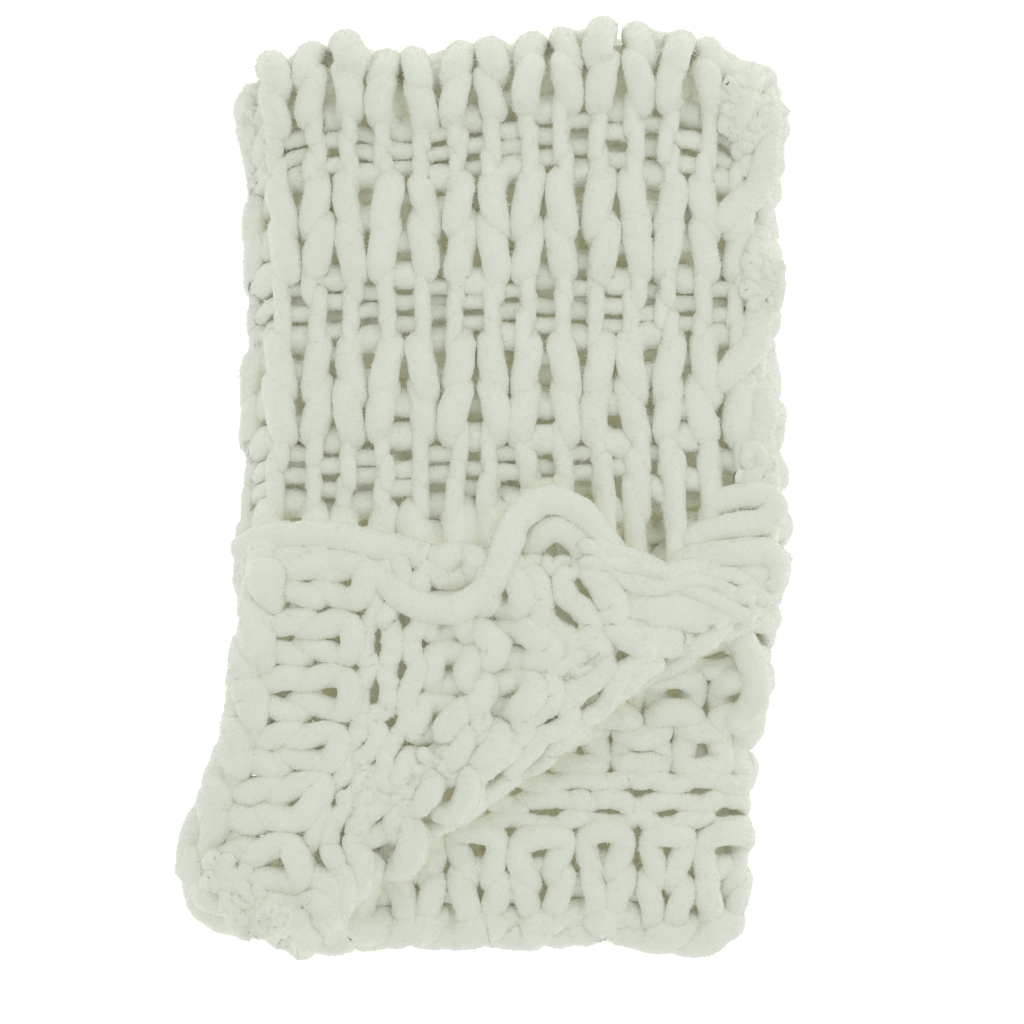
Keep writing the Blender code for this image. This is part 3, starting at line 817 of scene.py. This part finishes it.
def fold_shift(row, from_fold, across, behind, uneven):
    """How far a row's yarn is moved out of the cloth on the cross fold, this far from the fold's middle."""
    if yarn_of(row) is THICK:
        regular = (FOLD_LEGS * (1 - behind) - FOLD_HEADS * behind) * (1 - smooth(*FOLD_NEAR, from_fold))
    else:
        regular = -FOLD_PULL * (1 - smooth(*FOLD_THIN_NEAR, from_fold))
    return (regular + uneven * (1 - smooth(*FOLD_NEAR, from_fold))) * facing(across)


def row_path(row, random):
    """The yarn's path through one row of stitches, in the flat cloth, and its radius."""
    yarn = yarn_of(row)
    steps = WALES * yarn["steps"] + 1
    t = np.linspace(0.0, WALES * 2 * math.pi, steps)
    wave, splay = stitch_wave(row, t)
    uneven = UNEVEN_LEAST + yarn["radius"] / THICK["radius"]
    across = WALE * t / (2 * math.pi) + splay * WALE * np.sin(2 * t) + wander(random, steps, ACROSS_UNEVEN)
    low, high = row_reach(row)
    middle = (low + high) / 2
    up = middle + (high - low) / 2 * wave + wander(random, steps, UP_UNEVEN * uneven)
    foot, legs, head = swings(row)
    behind = 0.5 + 0.5 * np.tanh(SWING_SHARP * np.cos(2 * t)) / math.tanh(SWING_SHARP)
    swing = legs + (np.where(np.cos(t) > 0, foot, head) - legs) * behind
    out = yarn["depth"] * swing + wander(random, steps, OUT_UNEVEN * uneven)
    lumps = wander(random, steps, FOLD_LUMPS)
    out = out + fold_shift(row, abs(middle - LENGTH / 2), across, behind, lumps)
    points = np.stack([across, up, out], axis=-1)
    thicker = LOOSE_THIN_RADIUS if row < LOOSE_ROWS and yarn is THIN else 1.0
    hidden = (across > PANEL + TURN) * (up > LOWER_ROWS_UP)
    radius = yarn["radius"] * (1 + BEHIND_THICKER * behind + wander(random, steps, RADIUS_UNEVEN))
    return points, radius * thicker * stretch(points) * (1 + PRESSED * hidden)


def add_row(mesh, row, random):
    """One row of stitches."""
    points, radius = row_path(row, random)
    line = place(points)
    mesh.tube(line, outward(points), rounded(radius, line), yarn_of(row)["sides"])


def curve(points, steps):
    """A smooth curve through a few points."""
    points = np.asarray(points, float)
    padded = np.concatenate([2 * points[:1] - points[1:2], points, 2 * points[-1:] - points[-2:-1]])
    t = np.linspace(0.0, len(points) - 1, steps)
    base = np.minimum(t.astype(int), len(points) - 2)
    t = (t - base)[:, None]
    a, b, c, d = (padded[base + k] for k in range(4))
    return 0.5 * (2 * b + (c - a) * t + (2 * a - 5 * b + 4 * c - d) * t**2 + (3 * b - a - 3 * c + d) * t**3)


def add_strand(mesh, points, radius, steps=THICK["steps"], sides=THICK["sides"]):
    """A length of yarn through a few points of the flat cloth."""
    path = curve(points, steps)
    line = place(path)
    mesh.tube(line, outward(path), rounded(np.full(steps, radius), line), sides)


def add_edging(mesh, end, random):
    """The edging along one free end: two strands round each other, half a turn to each stitch."""
    across = np.linspace(0.0, WIDTH, WALES * EDGING_STEPS + 1)
    steps = len(across)
    if end == 0.0:
        inward, lift = 1.0, EDGING_LIFT * (2 * smooth(PANEL - WALE, PANEL, across) - 1)
        hidden = smooth(2 * PANEL + TURN, 2 * (PANEL + TURN), across)
    else:
        inward, lift, hidden = -1.0, EDGING_LIFT, 1.0
    for strand in range(2):
        angle = math.pi * (across / WALE + strand) + wander(random, steps, TWIST_UNEVEN)
        inset = EDGING_UP + EDGING_HIDDEN * hidden + EDGING_HALF * np.cos(angle)
        up = end + inward * (inset + wander(random, steps, EDGING_UP_UNEVEN))
        out = lift + EDGING_HALF * np.sin(angle)
        path = np.stack([across + wander(random, steps, EDGING_ACROSS_UNEVEN), up, out], axis=-1)
        thicker = wander(random, steps, EDGING_RADIUS_UNEVEN) - EDGING_PRESSED * np.cos(2 * angle)
        line = place(path)
        mesh.tube(line, outward(path), rounded(EDGING_RADIUS * (1 + thicker), line), THICK["sides"])


def add_loose(mesh, points, heights, radius=THICK["radius"], steps=LOOSE_STEPS, sides=THICK["sides"]):
    """A length of yarn that lies on the stack through a few places, at these heights before it sags."""
    flat = curve(points, steps)
    height = np.interp(np.linspace(0.0, 1.0, steps), np.linspace(0.0, 1.0, len(heights)), heights)
    line = np.concatenate([flat, (height * sag(flat[:, 0], flat[:, 1]))[:, None]], axis=1)
    mesh.tube(line, np.tile([0.0, 0.0, 1.0], (steps, 1)), rounded(np.full(steps, radius), line), sides)


def add_tangle(mesh, points, height, spread, count, random):
    """Short ends of thin yarn, curled up in a heap along a few places."""
    for _ in range(count):
        middle = curve(points, TANGLE_PLACES)[random.integers(0, TANGLE_PLACES)]
        bends = middle + random.normal(0.0, spread, (TANGLE_BENDS, 2))
        heights = height + random.normal(0.0, spread / 3, TANGLE_BENDS)
        add_loose(mesh, bends, heights, TANGLE_RADIUS, TANGLE_STEPS, THIN_SIDES)


def add_bundle(mesh, random):
    """A loose bunch of thin yarn along the turned corner's side."""
    for _ in range(BUNDLE_COUNT):
        points = np.array(BUNDLE) + random.normal(0.0, BUNDLE_WIDTH / 3, (len(BUNDLE), 2))
        heights = BUNDLE_HEIGHT + random.normal(0.0, BUNDLE_WIDTH / 5, len(BUNDLE))
        add_loose(mesh, points, heights, THIN["radius"], BUNDLE_STEPS, THIN_SIDES)


def add_turns(mesh, random):
    """Where each row's yarn turns at a side of the cloth and goes into the next row."""
    for row in range(len(ROWS) - 1):
        yarn = THICK if ROWS[row][1] and ROWS[row + 1][1] else THIN
        low, height = ROW_EDGES[row], ROWS[row][0]
        reach = abs(random.normal(0.0, TURN_REACH))
        for edge, way in ((0.0, -1.0), (WIDTH, 1.0)):
            points = [
                (edge + way * (reach * times - inside), low + share * height + more, out * yarn["depth"])
                for inside, times, share, more, out in TURN_PATH
            ]
            add_strand(mesh, points, yarn["radius"], TURN_STEPS, yarn["sides"])


def add_floats(mesh, random):
    """The thick yarn where it is carried up the side past a band of thin rows."""
    for row in range(LOOSE_ROWS, len(ROWS) - 2):
        if ROWS[row][1] or not ROWS[row - 1][1]:
            continue
        low, high = ROW_EDGES[row], ROW_EDGES[row + len(THIN_ROWS)]
        bulge = FLOAT_BULGE + random.normal(0.0, FLOAT_BULGE_UNEVEN)
        points = [
            (across - times * bulge, low + share * (high - low) + more, out)
            for across, times, share, more, out in FLOAT_PATH
        ]
        add_strand(mesh, points, FLOAT_RADIUS)


# ---------------------------------------------------------------- materials, floor, lights, camera


def add_noise(nodes, links, place_node, scale, detail):
    """A noise texture over the object's own coordinates."""
    texture = nodes.new("ShaderNodeTexNoise")
    texture.inputs["Scale"].default_value = scale
    texture.inputs["Detail"].default_value = detail
    links.new(place_node.outputs["Object"], texture.inputs["Vector"])
    return texture


def chenille(name):
    """Off-white brushed yarn: soft, matt, with fine pile, and painted light that glows deep inside the gaps.
    """
    material = bpy.data.materials.new(name)
    material.use_nodes = True
    nodes, links = material.node_tree.nodes, material.node_tree.links
    shader = nodes["Principled BSDF"]
    place_node = nodes.new("ShaderNodeTexCoord")
    cloud = add_noise(nodes, links, place_node, CLOUD_SCALE, CLOUD_DETAIL)
    tint = nodes.new("ShaderNodeValToRGB")
    for element, (position, colour) in zip(tint.color_ramp.elements, TINTS):
        element.position = position
        element.color = colour
    links.new(cloud.outputs["Fac"], tint.inputs["Fac"])
    links.new(tint.outputs["Color"], shader.inputs["Base Color"])
    fuzz = add_noise(nodes, links, place_node, FUZZ_SCALE, FUZZ_DETAIL)
    bump = nodes.new("ShaderNodeBump")
    bump.inputs["Strength"].default_value = FUZZ_STRENGTH
    bump.inputs["Distance"].default_value = FUZZ_HEIGHT
    links.new(fuzz.outputs["Fac"], bump.inputs["Height"])
    links.new(bump.outputs["Normal"], shader.inputs["Normal"])
    # painted light: the yarn glows pale yellow deep inside the gaps, more the further inside the stack it
    # lies
    inside = nodes.new("ShaderNodeAttribute")
    inside.attribute_name = "inside"
    painted_light = nodes.new("ShaderNodeMath")
    painted_light.operation = "MULTIPLY"
    painted_light.inputs[1].default_value = GAP_PAINTED_LIGHT
    links.new(inside.outputs["Fac"], painted_light.inputs[0])
    links.new(painted_light.outputs["Value"], shader.inputs["Emission Strength"])
    shader.inputs["Emission Color"].default_value = GAP_PAINTED_LIGHT_COLOUR
    shader.inputs["Roughness"].default_value = 1.0
    shader.inputs["Specular IOR Level"].default_value = 0.1
    shader.inputs["Sheen Weight"].default_value = 0.25
    shader.inputs["Sheen Roughness"].default_value = 0.6
    return material


def add_floor():
    """A plain white floor."""
    material = bpy.data.materials.new("floor_white")
    material.use_nodes = True
    shader = material.node_tree.nodes["Principled BSDF"]
    shader.inputs["Base Color"].default_value = FLOOR_COLOUR
    shader.inputs["Emission Color"].default_value = (1.0, 1.0, 1.0, 1.0)
    shader.inputs["Emission Strength"].default_value = FLOOR_GLOW
    shader.inputs["Roughness"].default_value = 0.9
    corners = [(-1, -1), (1, -1), (1, 1), (-1, 1)]
    points = [(x * FLOOR_HALF, y * FLOOR_HALF, 0.0) for x, y in corners]
    data = bpy.data.meshes.new("floor")
    data.from_pydata(points, [], [(0, 1, 2, 3)])
    floor = add_object("floor", data, material)


def add_key():
    """A soft square light from behind and above, facing the middle of the stack."""
    data = bpy.data.lights.new("key", "AREA")
    data.shape = "SQUARE"
    data.size = KEY_SIZE
    data.energy = KEY_POWER
    light = bpy.data.objects.new("key", data)
    x, y, z = KEY_PLACE
    light.location = KEY_PLACE
    light.rotation_euler = (math.atan2(math.hypot(x, y), z), 0.0, math.atan2(-y, -x) - math.pi / 2)
    bpy.context.scene.collection.objects.link(light)


def add_world():
    """Even white light from all sides."""
    world = bpy.data.worlds.new("studio")
    world.use_nodes = True
    background = world.node_tree.nodes["Background"]
    background.inputs["Color"].default_value = WORLD_COLOUR
    background.inputs["Strength"].default_value = WORLD_STRENGTH
    bpy.context.scene.world = world


def add_camera():
    """Straight above the stack, far off, so that its layers line up."""
    data = bpy.data.cameras.new("camera")
    data.sensor_width = CAMERA_SENSOR
    data.lens = CAMERA_SENSOR * (CAMERA_PLACE[2] - FRAME_HEIGHT) / FRAME_WIDTH
    camera = bpy.data.objects.new("camera", data)
    camera.location = CAMERA_PLACE
    bpy.context.scene.collection.objects.link(camera)
    bpy.context.scene.camera = camera


def knit(random):
    """All of the blanket's yarn: its rows in even groups, and its edges."""
    bands = [YarnMesh(f"knit_{k}") for k in range(KNIT_PIECES)]
    for row in range(len(ROWS)):
        add_row(bands[row * KNIT_PIECES // len(ROWS)], row, random)
    edge = YarnMesh("knit_edges")
    add_edging(edge, 0.0, random)
    add_edging(edge, LENGTH, random)
    add_turns(edge, random)
    add_floats(edge, random)
    for heights, points in CARRIED:
        add_loose(edge, points, heights)
    add_bundle(edge, random)
    for points, height, spread, count in TANGLES:
        add_tangle(edge, points, height, spread, count, random)
    return bands + [edge]


def main():
    """Builds the blanket over the frame, and its studio."""
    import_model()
    yarn = chenille("chenille")
    random = np.random.default_rng(SEED)
    meshes = knit(random)
    thin_out(meshes)
    for mesh in meshes:
        piece = mesh.build(yarn)
        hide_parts("blanket")
    add_pile(meshes, yarn, random)
    add_floor()
    add_world()
    add_key()
    add_camera()
    bpy.context.scene.view_settings.view_transform = "Standard"


main()
